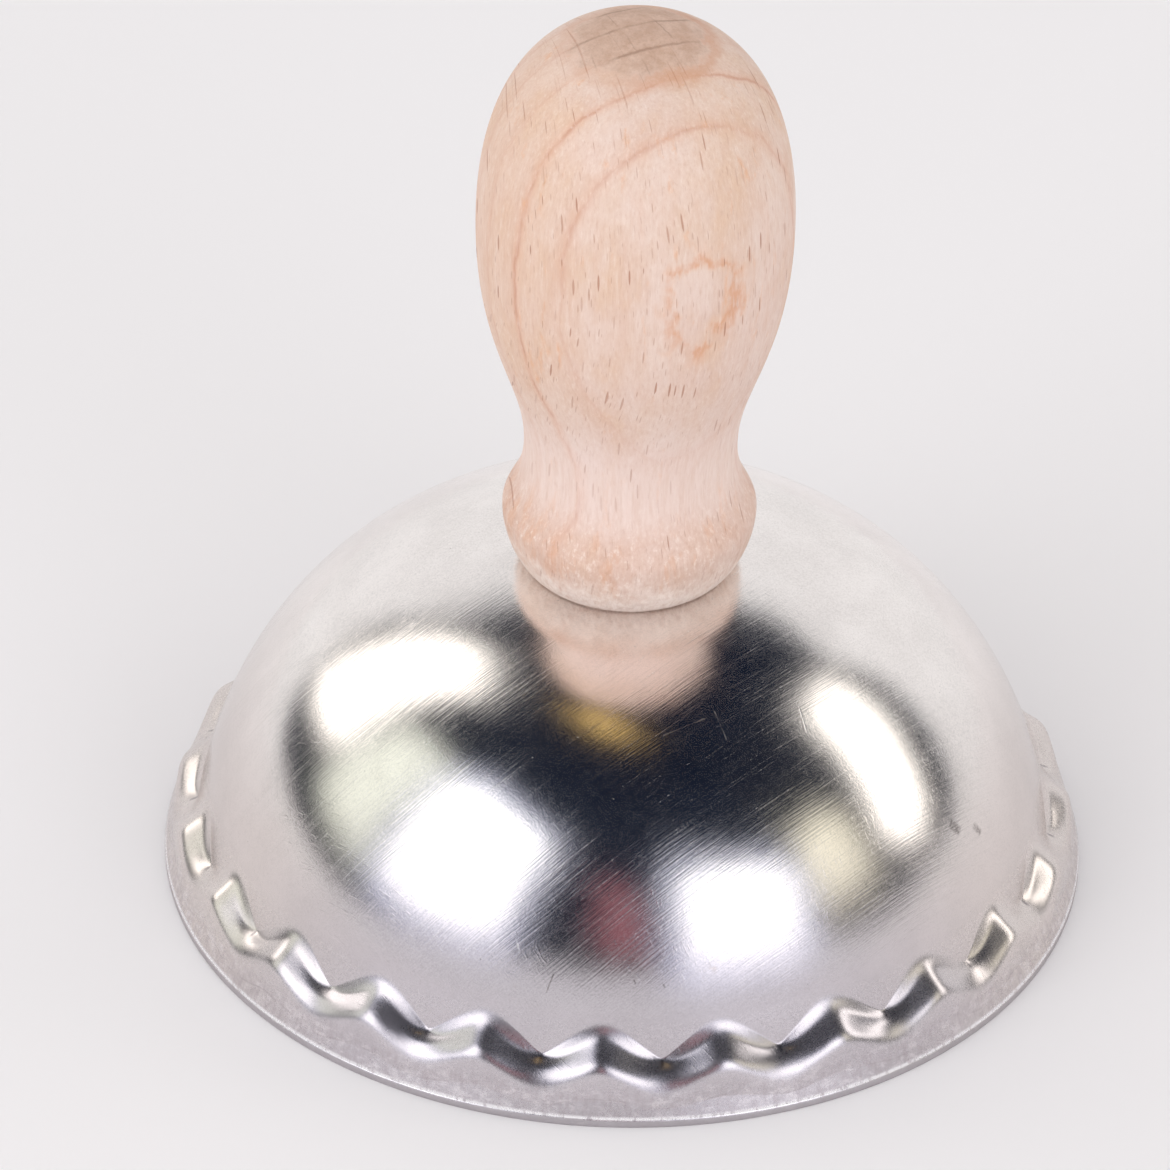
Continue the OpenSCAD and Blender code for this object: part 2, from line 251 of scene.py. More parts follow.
def outer_profile(swell):
    """The sheet's outer face at a bearing, from the crown's hole down to the rim's upper edge."""
    shoulder = shoulder_profile(swell)
    top_z, foot_z = shoulder[0, 1], shoulder[-1, 1]

    # the dome above it, with its rows closer together towards the shoulder
    high, low = (math.asin(((z + DOME_DROP) / DOME_RISE) ** (DOME_POWER / 2))
                 for z in (SEAT_Z, top_z))
    angle = lerp(high, low, 1 - (1 - np.linspace(0, 1, DOME_ROWS)) ** DOME_CROWDING)
    dome = np.stack([DOME_R * np.cos(angle) ** (2 / DOME_POWER),
                     DOME_RISE * np.sin(angle) ** (2 / DOME_POWER) - DOME_DROP], axis=-1)

    # the skirt below it, which turns out a little in a burr at the cut edge
    heights = lerp(foot_z, SHEET + BURR, np.linspace(0, 1, SKIRT_ROWS)[1:])
    skirt = np.stack([skirt_radius(heights), heights], axis=-1)
    burr = curve(skirt[-1], skirt[-1] + 0.45 * BURR * lean_of(math.atan(SKIRT_SLOPE)),
                 (RIM_R - 0.35 * BURR, SHEET + 0.25 * BURR), (RIM_R, SHEET), BURR_ROWS)

    seat = [(HOLE_R, SEAT_Z), (lerp(HOLE_R, SEAT_R, 0.8), SEAT_Z)]
    profile = np.concatenate([seat, dome, shoulder[1:], skirt, burr])
    crease = len(seat) + DOME_ROWS - 1
    softness = lerp(*CREASE_SOFTNESS, smoothstep(*SOFTENING_SWELLS, swell))
    return np.stack(smoothed(*profile.T, crease, softness), axis=-1)


def sheet_profile(swell):
    """The sheet's whole outline at a bearing: outer face, cut edge, and inner face to the hole."""
    outer = outer_profile(swell)

    # the cut edge, with a small round chamfer at its foot
    edge = np.array([(RIM_R, RIM_CHAMFER * 1.6), (RIM_R - RIM_CHAMFER * 0.3, RIM_CHAMFER * 0.45),
                     (RIM_R - RIM_CHAMFER, 0)])

    # the inner face lies one sheet's thickness behind the outer, down to the burr
    run = np.gradient(outer, axis=0)
    run[:2] = (1, 0)
    normal = np.stack([-run[:, 1], run[:, 0]], axis=-1)
    normal /= np.linalg.norm(normal, axis=1)[:, None]
    inner = (outer - SHEET * normal)[:-(BURR_ROWS + 1)]
    inner[0, 0] = HOLE_R
    last = inner[-1]
    bottom = last + (0 - last[1]) * np.array([-SKIRT_SLOPE, 1.0])
    return np.concatenate([outer, edge, [bottom], inner[::-1]])


def bell_shell(material):
    bearings = np.radians(NOTCH_BEARING + 360 * np.arange(SHELL_COLUMNS) / SHELL_COLUMNS)
    swells = np.abs(np.sin(SCALLOPS * (bearings - math.radians(NOTCH_BEARING)) / 2))
    points = [turned(sheet_profile(swell), bearing) for bearing, swell in zip(bearings, swells)]
    return surface("smooth_bell_shell", np.array(points), True, material)


# ---------------------------------------------------- handle

def beech_handle(material):
    """Four curves from the foot over collar, neck and head to the top, and the stud's bore."""
    foot, collar, neck = (FOOT_R, 0), (COLLAR_R, COLLAR_H), (NECK_R, NECK_H)
    head, top = (HEAD_R, HEAD_H), (0, HANDLE_L)
    grips = [((FOOT_R + FOOT_REACH[0], FOOT_REACH[1]), (COLLAR_R, COLLAR_H - COLLAR_REACH[0])),
             ((COLLAR_R, COLLAR_H + COLLAR_REACH[1]), (NECK_R, NECK_H - NECK_REACH[0])),
             ((NECK_R, NECK_H + NECK_REACH[1]), (HEAD_R, HEAD_H - HEAD_REACH[0])),
             ((HEAD_R, HEAD_H + HEAD_REACH[1]), (TOP_REACH, HANDLE_L))]
    outline = [curve(start, *pair, end, steps) for start, pair, end, steps
               in zip((foot, collar, neck, head), grips, (collar, neck, head, top), HANDLE_ROWS)]
    bore = [(0, BORE_DEPTH + BORE_R / 3), (BORE_R, BORE_DEPTH), (BORE_R, 0.2), (BORE_R + 0.2, 0)]
    base = [(FOOT_R - 0.15, 0), (FOOT_R, 0.12)]
    profile = np.concatenate([bore, base, *outline])
    profile[0, 0] = profile[-1, 0] = POLE_R
    profile[:, 1] += SEAT_Z
    bearings = np.linspace(0, 2 * math.pi, HANDLE_COLUMNS, endpoint=False)
    points = [turned(profile, bearing) for bearing in bearings]
    return surface("turned_beech_handle", np.array(points), False, material)


# ---------------------------------------------------- node graphs

class Graph:
    """A material's or world's nodes, built from the inside out: helpers return output sockets."""

    def __init__(self, name, world=False):
        self.made = (bpy.data.worlds if world else bpy.data.materials).new(name)
        self.made.use_nodes = True
        self.tree = self.made.node_tree
        self.tree.nodes.clear()
        self.output = self.node("OutputWorld" if world else "OutputMaterial")

    def finish(self, shader):
        """Puts the shader on the surface, and returns the whole material or world."""
        self.put(self.output.inputs[0], shader)
        return self.made

    def put(self, socket, value):
        if isinstance(value, bpy.types.NodeSocket):
            self.tree.links.new(value, socket)
        elif value is not None:
            socket.default_value = (*value, 1) if socket.type == "RGBA" else value

    def node(self, kind, inputs=(), **settings):
        made = self.tree.nodes.new("ShaderNode" + kind)
        for key, value in settings.items():
            setattr(made, key, value)
        for key, value in dict(inputs).items():
            self.put(made.inputs[key], value)
        return made

    def math(self, operation, a, b=None, clamp=False):
        return self.node("Math", {0: a, 1: b}, operation=operation, use_clamp=clamp).outputs[0]

    def times(self, *factors):
        product = factors[0]
        for factor in factors[1:]:
            product = self.math("MULTIPLY", product, factor)
        return product

    def plus(self, a, b, clamp=False):
        return self.math("ADD", a, b, clamp)

    def minus(self, a, b):
        return self.math("SUBTRACT", a, b)

    def gap(self, a, b):
        """How far apart two values are."""
        return self.math("ABSOLUTE", self.minus(a, b))

    def swing(self, value, size):
        """Turns noise about 0.5 into noise about 0, and size wide."""
        return self.times(self.minus(value, 0.5), size)

    def rise(self, value, low, high, to_low=0.0, to_high=1.0):
        """Goes smoothly from to_low at low to to_high at high, where low may be the larger."""
        return self.node("MapRange", {"Value": value, "From Min": low, "From Max": high,
                                      "To Min": to_low, "To Max": to_high},
                         interpolation_type="SMOOTHSTEP").outputs[0]

    def fall(self, value, low, high):
        """Goes smoothly from 1 at low to 0 at high."""
        return self.rise(value, low, high, 1.0, 0.0)

    def vector(self, operation, a, b=None):
        made = self.node("VectorMath", {0: a, 1: b}, operation=operation)
        return made.outputs["Value" if operation in ("LENGTH", "DOT_PRODUCT") else "Vector"]

    def scaled(self, v, scale):
        return self.node("VectorMath", {0: v, "Scale": scale}, operation="SCALE").outputs["Vector"]

    def stretch(self, v, level, upright):
        """Scales a place by one factor along x and y, and by another along z."""
        return self.vector("MULTIPLY", v, (level, level, upright))

    def combine(self, x, y, z):
        return self.node("CombineXYZ", {"X": x, "Y": y, "Z": z}).outputs[0]

    def separate(self, v):
        return self.node("SeparateXYZ", {"Vector": v}).outputs

    def place(self):
        """Where a point lies in its piece's own frame, in millimetres."""
        return self.scaled(self.node("TexCoord").outputs["Object"], 1 / MM)

    def noise(self, v, scale=1.0, detail=2.0, rough=0.5, seed=0.0):
        """Smooth noise from 0 to 1, about 0.5, with features about 1/scale across."""
        return self.node("TexNoise", {"Vector": v, "Scale": scale, "Detail": detail,
                                      "Roughness": rough, "W": seed},
                         noise_dimensions="4D").outputs[0]

    def cells(self, v, scale, dimensions="3D"):
        """The distance from the middle of the nearest cell, and two chances that the cell draws."""
        made = self.node("TexVoronoi", {"Vector": v, "Scale": scale, "Randomness": 1.0},
                         voronoi_dimensions=dimensions)
        chances = self.node("SeparateColor", {"Color": made.outputs["Color"]}).outputs
        return made.outputs["Distance"], chances[0], chances[1]

    def mix(self, share, a, b):
        """The colour a, with that share of the colour b over it."""
        return self.node("Mix", {0: share, 6: a, 7: b}, data_type="RGBA").outputs[2]

    def bump(self, height, distance, normal=None, strength=1.0):
        """height is from 0 to 1 and distance in millimetres."""
        return self.node("Bump", {"Height": height, "Distance": distance * MM,
                                  "Strength": strength, "Normal": normal}).outputs[0]

    def mix_shaders(self, share, a, b):
        return self.node("MixShader", {0: share, 1: a, 2: b}).outputs[0]

    def principled(self, **inputs):
        """Finishes a material with the main shader."""
        names = {"colour": "Base Color", "metal": "Metallic", "rough": "Roughness",
                 "specular": "Specular IOR Level", "normal": "Normal", "tangent": "Tangent",
                 "anisotropic": "Anisotropic"}
        shader = self.node("BsdfPrincipled", {names[key]: value for key, value in inputs.items()})
        return self.finish(shader.outputs[0])

    def looked_at(self):
        """1 where the camera, a reflection or glass sees it, and 0 where it only lights things."""
        rays = self.node("LightPath").outputs
        return self.plus(self.plus(rays["Is Camera Ray"], rays["Is Glossy Ray"]),
                         rays["Is Transmission Ray"], clamp=True)


def tone(r, g, b):
    """A colour as it looks on a screen, 0 to 255, turned into the shader's linear scale."""
    def linear(c):
        c /= 255
        return c / 12.92 if c <= 0.04045 else ((c + 0.055) / 1.055) ** 2.4
    return tuple(linear(c) for c in (r, g, b))


# ---------------------------------------------------- aluminium

# the way of the rubbing: its bearing in degrees, and how steeply its planes slant
RUB_BEARING, RUB_SLANT = 47, 0.63

# heights between which something fades: from the dome onto the shoulder, and down onto the skirt
ONTO_SHOULDER = 12.0, 9.5
ONTO_SKIRT = 5.5, 3.0

ALUMINIUM = {
    "dull": (0.94, 0.893, 0.864), "clean": (0.98, 0.935, 0.906),
    # the two low colours are painted shade in the lower reflections, at the front and at the sides
    "reflection_shade_front": (0.60, 0.56, 0.60), "reflection_shade_sides": (0.735, 0.67, 0.645),
    "grime": (0.0, 0.0, 0.0), "pit": (0.22, 0.20, 0.20), "scratch": (1.0, 1.0, 1.0),
    "smudge": (0.20, 0.17, 0.16), "streak": (0.44, 0.38, 0.41), "dark_blot": (0.47, 0.41, 0.42),
    # among these rows, painted shade for the creases below the scallops and at the notches
    "pale_blot": (0.93, 0.88, 0.90), "stain": (0.40, 0.30, 0.24), "press_line_shade": (0.36, 0.31, 0.33),
    # the burr's colour in the next row is a painted highlight
    "notch_crease_shade": (0.16, 0.14, 0.16), "cut_edge": (0.50, 0.47, 0.49), "burr": (0.90, 0.885, 0.91),
}

# marks on the dome: two ends, each a bearing from the front and a distance from the axis; a width
SCRATCHES = [
    ((8, 27), (20, 25.6), 0.10),
    ((12, 30), (26, 28.6), 0.07),
    ((22, 24.8), (22.5, 28.5), 0.09),
    ((40, 30), (42, 27.5), 0.10),
    ((-20, 38), (-14, 43), 0.22),
    ((3, 44), (-4, 46.8), 0.10),
    ((150, 30), (163, 36), 0.10),
    ((-100, 33), (-108, 39), 0.12),
]
SMUDGES = [
    ((57.9, 41.0), (59.3, 41.9), 0.80),
    ((62.6, 42.1), (63.6, 42.8), 0.60),
    ((-9.0, 43.5), (-9.9, 44.4), 0.12),
    ((2.0, 43.6), (2.3, 43.8), 0.12),
    ((6.1, 43.8), (6.3, 44.0), 0.12),
    ((-130, 40), (-128, 41), 0.20),
    ((172, 42), (173, 43), 0.24),
]


def on_dome(bearing, radius):
    """A place on the dome by its bearing, from the front to the right, and its radius."""
    a = math.radians(bearing)
    return Vector((radius * math.sin(a), -radius * math.cos(a), float(dome_z(radius))))


def line_mask(g, p, start, end, width):
    """1 along the straight line from start to end, and 0 beyond its width, with thin ends."""
    run = end - start
    from_start = g.vector("SUBTRACT", p, tuple(start))
    share = g.math("DIVIDE", g.vector("DOT_PRODUCT", from_start, tuple(run)), run.length_squared,
                   clamp=True)
    foot = g.scaled(tuple(run), share)
    off_line = g.vector("LENGTH", g.vector("SUBTRACT", from_start, foot))
    taper = g.times(share, g.minus(1.0, share), 4.0)
    return g.times(g.fall(off_line, 0.25 * width, width), g.rise(taper, 0.0, 0.5))


def marks(g, p, lines):
    """1 along every line of the list."""
    shown = 0.0
    for start, end, width in lines:
        shown = g.math("MAXIMUM", shown, line_mask(g, p, on_dome(*start), on_dome(*end), width))
    return shown


def aluminium():
    """Satin sheet, rubbed straight across in one direction, with dust, pits and a few scratches."""
    g = Graph("rubbed_aluminium")
    p = g.place()
    x, y, z = g.separate(p)
    bearing = g.math("ARCTAN2", y, x)

    # along and across the rubbing, which runs from front left to back right in slanting planes
    rub = math.radians(RUB_BEARING)
    along = g.plus(g.times(x, math.cos(rub)), g.times(y, math.sin(rub)))
    across = g.minus(g.times(y, math.cos(rub)), g.times(x, math.sin(rub)))
    across = g.plus(across, g.times(z, RUB_SLANT))
    across = g.plus(across, g.noise(p, 0.06, 1.0, seed=3.0))
    strokes = g.noise(g.combine(g.times(along, 0.115), g.times(across, 4.4), 0.0),
                      1.0, 3.0, 0.6, seed=1.0)
    hairs = g.noise(g.combine(g.times(across, 0.30), g.times(along, 4.2), g.times(z, 0.9)),
                    1.0, 2.0, 0.6, seed=18.0)
    patches = g.noise(p, 0.16, 4.0, 0.65, seed=5.0)
    cloud = g.noise(p, 0.11, 4.0, 0.6, seed=9.0)
    grain = g.noise(p, 4.6, 3.0, 0.75, seed=12.0)
    rubbed = g.times(g.rise(patches, 0.30, 0.58, 0.60, 1.0), g.rise(z, 9.0, 16.0, 0.15, 1.0))

    # bright specks of dust, and small dark pits
    distance, size_chance, pit_chance = g.cells(p, 1.1)
    speck_size = g.rise(size_chance, 0.60, 1.0, 0.0, 0.07)
    speck = g.rise(g.minus(speck_size, distance), -0.02, 0.03)
    pit = g.times(speck, g.rise(pit_chance, 0.66, 0.70))
    dust = g.minus(speck, pit)

    # roughness, more where it is rubbed, dusty or scratched, and on the shoulder
    scratch = marks(g, p, SCRATCHES)
    rough = g.plus(g.rise(patches, 0.3, 0.7, 0.155, 0.180),
                   g.times(rubbed, g.rise(strokes, 0.50, 0.71, 0.0, 0.10)))
    rough = g.plus(rough, g.rise(grain, 0.45, 0.8, 0.0, 0.05))
    rough = g.plus(rough, g.times(scratch, 0.2))
    rough = g.plus(rough, g.rise(z, *ONTO_SHOULDER, 0.0, 0.10))

    # the metal's own colour, with grime, pits and scratches, and lower down a painted shade that
    # darkens its reflections, most at the front
    colour = g.mix(g.rise(cloud, 0.35, 0.7), ALUMINIUM["dull"], ALUMINIUM["clean"])
    # painted shade: darker reflections low down, darkest at the front
    painted_reflection_shade = g.mix(g.rise(y, -42.0, -20.0), ALUMINIUM["reflection_shade_front"], ALUMINIUM["reflection_shade_sides"])
    colour = g.mix(g.rise(z, 30.0, 12.0, 0.0, 0.9), colour, painted_reflection_shade)
    clean = g.rise(g.plus(g.times(grain, 0.7), g.times(cloud, 0.3)), 0.36, 0.60)
    colour = g.mix(clean, g.mix(0.13, colour, ALUMINIUM["grime"]), colour)
    colour = g.mix(g.times(pit, 0.8), colour, ALUMINIUM["pit"])
    colour = g.mix(g.times(scratch, 0.25), colour, ALUMINIUM["scratch"])

    # small dark smudges and ticks
    smudge = g.times(marks(g, p, SMUDGES), g.rise(grain, 0.40, 0.55, 0.2, 1.0))
    colour = g.mix(g.times(smudge, 0.7), colour, ALUMINIUM["smudge"])

    # streaks straight down the skirt, and dark and pale blots on it
    streaks = g.noise(g.combine(g.times(bearing, 70.0), g.times(z, 0.35), 0.0),
                      1.0, 4.0, 0.7, seed=37.0)
    streaks = g.times(g.rise(streaks, 0.42, 0.64), g.rise(z, 5.0, 3.0))
    colour = g.mix(g.times(streaks, 0.36), colour, ALUMINIUM["streak"])
    blots = g.noise(g.stretch(p, 1.0, 1.6), 0.75, 5.0, 0.72, seed=39.0)
    on_skirt = g.rise(z, *ONTO_SKIRT)
    dark_blot = g.times(on_skirt, g.rise(blots, 0.50, 0.64, 0.0, 0.24))
    pale_blot = g.times(on_skirt, g.rise(blots, 0.50, 0.38, 0.0, 0.36))
    colour = g.mix(dark_blot, colour, ALUMINIUM["dark_blot"])
    colour = g.mix(pale_blot, colour, ALUMINIUM["pale_blot"])

    # brown stains, mostly low down
    stain = g.rise(g.noise(p, 0.22, 4.0, 0.7, seed=31.0), 0.66, 0.80)
    stain = g.times(stain, g.rise(z, 34.0, 14.0))
    colour = g.mix(g.times(stain, 0.35), colour, ALUMINIUM["stain"])

    # painted shade: a sharp dark spot in the crease at the top of every notch, and a faint press
    # line below the scallops, drawn as a dark line of shade in the crease where they meet the skirt
    turn = g.math("SINE", g.times(g.minus(bearing, math.radians(NOTCH_BEARING)), SCALLOPS / 2))
    notch_crease_shade = g.times(g.fall(g.math("ABSOLUTE", turn), 0.01, 0.06),
                         g.fall(g.gap(z, NOTCH["top_z"] - 0.2), 0.05, 0.35))
    line_z = g.plus(NOTCH["foot_z"], g.times(turn, turn, SCALLOP["foot_z"] - NOTCH["foot_z"]))
    line_z = g.plus(line_z, g.swing(g.noise(p, 0.3, 2.0, seed=27.0), 0.7))
    line = g.times(g.fall(g.gap(z, line_z), 0.0, 0.14),
                   g.rise(g.noise(p, 0.5, 2.0, seed=28.0), 0.42, 0.62))
    colour = g.mix(g.times(line, 0.35), colour, ALUMINIUM["press_line_shade"])
    colour = g.mix(g.times(notch_crease_shade, 0.6), colour, ALUMINIUM["notch_crease_shade"])

    # the cut edge is dull; the burr above it gets a pale colour and a matt share that paint its
    # highlight, broken by the shears' ticks
    ticks = g.noise(g.combine(g.times(bearing, 90.0), g.times(z, 0.5), 0.0), 1.0, 3.0, 0.7)
    burr = g.times(g.rise(z, SHEET - 0.04, SHEET + 0.08), g.fall(z, SHEET + 0.2, SHEET + 0.55),
                   g.rise(ticks, 0.36, 0.50, 0.15, 1.0))
    cut = g.rise(z, SHEET + 0.02, SHEET - 0.12)
    colour = g.mix(g.times(cut, 0.8), colour, ALUMINIUM["cut_edge"])
    colour = g.mix(burr, colour, ALUMINIUM["burr"])
    rough = g.plus(rough, g.times(cut, 0.2))

    # a dull film of handling, thin and greyish, with the burr's matt share, part of its painted
    # highlight
    handling_film_and_burr_glint = g.plus(g.rise(grain, 0.45, 0.75, 0.0, 0.025), g.times(dust, 0.35))
    handling_film_and_burr_glint = g.plus(handling_film_and_burr_glint, g.rise(z, *ONTO_SHOULDER, 0.0, 0.045))
    handling_film_and_burr_glint = g.plus(handling_film_and_burr_glint, g.times(burr, 0.4), clamp=True)

    normal = g.bump(patches, 0.02)
    normal = g.bump(strokes, 0.016, normal, strength=rubbed)
    normal = g.bump(g.rise(hairs, 0.58, 0.72), 0.004, normal, strength=g.rise(z, 34.0, 20.0))
    normal = g.bump(grain, 0.007, normal)
    normal = g.bump(scratch, -0.004, normal)
    tangent = g.combine(-math.sin(rub), math.cos(rub), RUB_SLANT)
    return g.principled(colour=colour, metal=g.minus(1.0, handling_film_and_burr_glint), rough=rough, normal=normal,
                        anisotropic=0.25, tangent=tangent)


# ---------------------------------------------------- beech

# the pith's place, and how far from it the way round it is measured, in millimetres
PITH_X, PITH_Y = -15.5, 31.5
PITH_ARC = 45.0

# where the first year shown begins, counted from the pith, and how wide each year is
YEAR_START, YEAR_WIDTH = 34.1, 4.37

# the step from one ray to the next across the end grain
END_RAY_STEP = 5.3

BEECH = {name: tone(*colour) for name, colour in {
    "warm": (224, 194, 175), "pink": (225, 197, 184), "chalky": (236, 218, 211),
    "sandy": (226, 190, 160), "left_side": (228, 188, 158), "late": (215, 174, 152),
    "streak": (222, 186, 168), "dark_fibre": (208, 168, 146), "pale_fibre": (243, 227, 218),
    "flame": (226, 172, 132), "collar": (220, 184, 170), "dark_crumb": (204, 162, 142),
    "pale_crumb": (250, 234, 226), "halo": (222, 168, 138), "line": (198, 140, 116),
    "knot_halo": (228, 174, 134), "knot": (214, 152, 116), "dark_pore": (204, 164, 144),
    "pale_pore": (244, 226, 216), "ray": (178, 124, 100), "end": (216, 184, 166),
    "dark_end": (194, 156, 134), "end_pore": (176, 144, 126), "end_line": (146, 112, 92),
    "end_ray": (150, 114, 94), "end_rim": (206, 150, 116), "neck": (244, 224, 218),
    # the torn collar's colour: partly its whitish fibres, partly painted light against its shade
    "torn": (255, 238, 229),
}.items()}


def beech():
    """Turned beech: growth rings about a pith outside the handle, and the rays that cross them."""
    g = Graph("turned_beech")
    p = g.place()
    x, y, z = g.separate(p)

    def up_handle(low, high, to_low=0.0, to_high=1.0):
        """Goes smoothly from to_low to to_high between two heights above the handle's foot."""
        return g.rise(z, SEAT_Z + low, SEAT_Z + high, to_low, to_high)

    # long along the grain: fibres, pores, streaks and flames; and patches of other shapes
    fibres = g.noise(g.stretch(p, 2.2, 0.16), 1.0, 4.0, 0.7, seed=25.0)
    pores = g.noise(g.stretch(p, 3.6, 0.6), 1.0, 4.0, 0.65, seed=7.0)
    streaks = g.noise(g.stretch(p, 0.7, 0.06), 1.0, 3.0, 0.55, seed=8.0)
    flames = g.noise(g.stretch(p, 0.55, 0.13), 1.0, 4.0, 0.65, seed=26.0)
    blush = g.noise(p, 0.055, 3.0, 0.6, seed=4.0)
    blotch = g.noise(g.stretch(p, 1.0, 0.55), 0.17, 4.0, 0.65, seed=24.0)

    # distance from the pith, and the way round it
    wobble = g.plus(g.swing(g.noise(p, 0.16, 3.0, 0.55, seed=2.0), 1.5), g.swing(fibres, 0.35))
    dx, dy = g.minus(x, PITH_X), g.minus(y, PITH_Y)
    from_pith = g.plus(g.math("SQRT", g.plus(g.times(dx, dx), g.times(dy, dy))), wobble)
    round_pith = g.times(g.math("ARCTAN2", dx, g.times(dy, -1.0)), PITH_ARC)

    # each year grows darker outward and ends in a sharp line; the older years' lines are faint
    year = g.math("DIVIDE", g.minus(from_pith, YEAR_START), YEAR_WIDTH)
    share = g.math("FRACT", year)
    late = g.times(g.rise(share, 0.45, 1.0), g.rise(year, 3.85, 3.5))
    from_line = g.gap(share, g.math("ROUND", share))
    broken = g.rise(g.noise(p, 0.20, 3.0, 0.6, seed=21.0), 0.36, 0.60, 0.1, 1.0)
    line = g.times(g.fall(from_line, 0.0, 0.07), broken)
    halo = g.fall(from_line, 0.0, 0.20)
    young = g.rise(year, 1.4, 1.6, 0.25, 1.0)

    # the line nearest the front fades down the handle, and none shows at the collar's right
    near = g.times(g.rise(year, 2.4, 2.6), g.rise(year, 3.6, 3.4))
    fade = g.times(near, up_handle(47.0, 40.0, 0.35, 0.80))
    collar_right = g.times(up_handle(14.0, 10.0), g.rise(x, -3.0, 3.0))
    shown = g.times(young, g.minus(1.0, g.math("MAXIMUM", fade, collar_right)))

    # rays: thin, upright spindles that run out from the pith, in two sizes
    upright = g.plus(g.times(round_pith, 1.4), g.swing(g.noise(p, 0.07, 1.0, seed=33.0), 2.0))
    rays = []
    for scale, shift in ((1.0, 0.0), (1.9, 7.3)):
        ray_place = g.combine(g.plus(g.times(upright, scale), shift),
                              g.plus(g.times(z, 0.14 * scale), shift), 0.0)
        distance, size_chance, depth_chance = g.cells(ray_place, 1.0, "2D")
        depth = g.minus(g.rise(size_chance, 0.20, 1.0, 0.0, 0.165), distance)
        rays.append(g.times(g.rise(depth, 0.0, 0.05), g.rise(depth_chance, 0.0, 1.0, 0.3, 1.0)))
    ray = g.math("MAXIMUM", rays[0], g.times(rays[1], 0.6))

    # the wood's own colour, with its blotches, late wood and fibres
    colour = g.mix(g.rise(blush, 0.35, 0.65), BEECH["warm"], BEECH["pink"])
    colour = g.mix(g.rise(blotch, 0.38, 0.66, 0.0, 0.5), colour, BEECH["chalky"])
    colour = g.mix(g.rise(blotch, 0.48, 0.30, 0.0, 0.4), colour, BEECH["sandy"])
    colour = g.mix(g.rise(x, -4.0, -15.0, 0.0, 0.35), colour, BEECH["left_side"])
    colour = g.mix(g.times(late, 0.30), colour, BEECH["late"])
    colour = g.mix(g.rise(streaks, 0.45, 0.8, 0.0, 0.45), colour, BEECH["streak"])
    colour = g.mix(g.rise(fibres, 0.52, 0.76, 0.0, 0.4), colour, BEECH["dark_fibre"])
    colour = g.mix(g.rise(fibres, 0.48, 0.26, 0.0, 0.35), colour, BEECH["pale_fibre"])

    # orange flames, most of all at the collar's left, and the collar's crumbly surface
    collar = g.times(up_handle(16.0, 9.0), up_handle(1.0, 6.0))
    left_collar = g.times(collar, g.rise(x, 2.0, -7.0, 0.55, 1.0))
    flame = g.rise(g.plus(flames, g.times(left_collar, 0.12)), 0.58, 0.74, 0.0, 0.65)
    colour = g.mix(flame, colour, BEECH["flame"])
    colour = g.mix(g.times(collar, 0.42), colour, BEECH["collar"])
    crumb = g.noise(g.stretch(p, 1.0, 0.6), 1.7, 4.0, 0.75, seed=38.0)
    crumbly = up_handle(17.0, 7.0, 0.2, 1.0)
    dark_crumb = g.times(crumbly, g.rise(crumb, 0.52, 0.68, 0.0, 0.5))
    pale_crumb = g.times(crumbly, g.rise(crumb, 0.48, 0.32, 0.0, 0.6))
    colour = g.mix(dark_crumb, colour, BEECH["dark_crumb"])
    colour = g.mix(pale_crumb, colour, BEECH["pale_crumb"])

    # the years' lines, each with a soft halo
    older = g.rise(year, 3.5, 3.4)
    colour = g.mix(g.times(halo, shown, g.times(older, 0.30)), colour, BEECH["halo"])
    colour = g.mix(g.times(line, shown, g.times(older, 0.6)), colour, BEECH["line"])

    # the youngest year shows only as an orange outline round a small pale field
    outline = g.plus(g.plus(year, g.swing(blotch, 0.10)), g.swing(flames, 0.12))
    strength = g.rise(g.noise(p, 0.35, 3.0, seed=29.0), 0.36, 0.56, 0.15, 1.0)
    soft = g.times(g.rise(outline, 3.885, 3.985), g.rise(outline, 4.03, 3.985))
    sharp = g.times(g.rise(outline, 3.945, 3.985), g.rise(outline, 4.01, 3.985))
    colour = g.mix(g.times(soft, strength, 0.40), colour, BEECH["knot_halo"])
    colour = g.mix(g.times(sharp, strength, 0.6), colour, BEECH["knot"])

    # fine pores and the rays
    colour = g.mix(g.rise(pores, 0.5, 0.8, 0.0, 0.5), colour, BEECH["dark_pore"])
    colour = g.mix(g.rise(pores, 0.5, 0.25, 0.0, 0.4), colour, BEECH["pale_pore"])
    colour = g.mix(g.times(ray, 0.8), colour, BEECH["ray"])

    # end grain shows darker where the surface faces up, with every year's line
    up = g.separate(g.node("NewGeometry").outputs["Normal"])[2]
    up = g.plus(up, g.swing(g.noise(p, 0.45, 4.0, 0.65, seed=6.0), 0.16))
    end_cloud = g.noise(p, 0.6, 4.0, 0.65, seed=34.0)
    end_ray_share = g.math("FRACT", g.math("DIVIDE", g.plus(round_pith, wobble), END_RAY_STEP))
    end_ray = g.times(g.fall(g.gap(end_ray_share, 0.5), 0.0, 0.035),
                      g.rise(g.noise(p, 0.3, 2.0, seed=35.0), 0.38, 0.60))
    end_colour = g.mix(g.rise(end_cloud, 0.3, 0.7), BEECH["end"], BEECH["dark_end"])
    end_colour = g.mix(g.rise(pores, 0.4, 0.8, 0.0, 0.5), end_colour, BEECH["end_pore"])
    end_colour = g.mix(g.times(line, 0.7), end_colour, BEECH["end_line"])
    end_colour = g.mix(g.times(end_ray, 0.6), end_colour, BEECH["end_ray"])
    colour = g.mix(g.times(g.rise(up, 0.895, 0.962), 0.85), colour, end_colour)
    end_rim = g.times(g.rise(up, 0.82, 0.90), g.rise(up, 0.94, 0.90),
                      g.rise(g.plus(x, g.times(blotch, 8.0)), 0.0, 8.0, 0.45, 1.0))
    colour = g.mix(g.times(end_rim, 0.55), colour, BEECH["end_rim"])

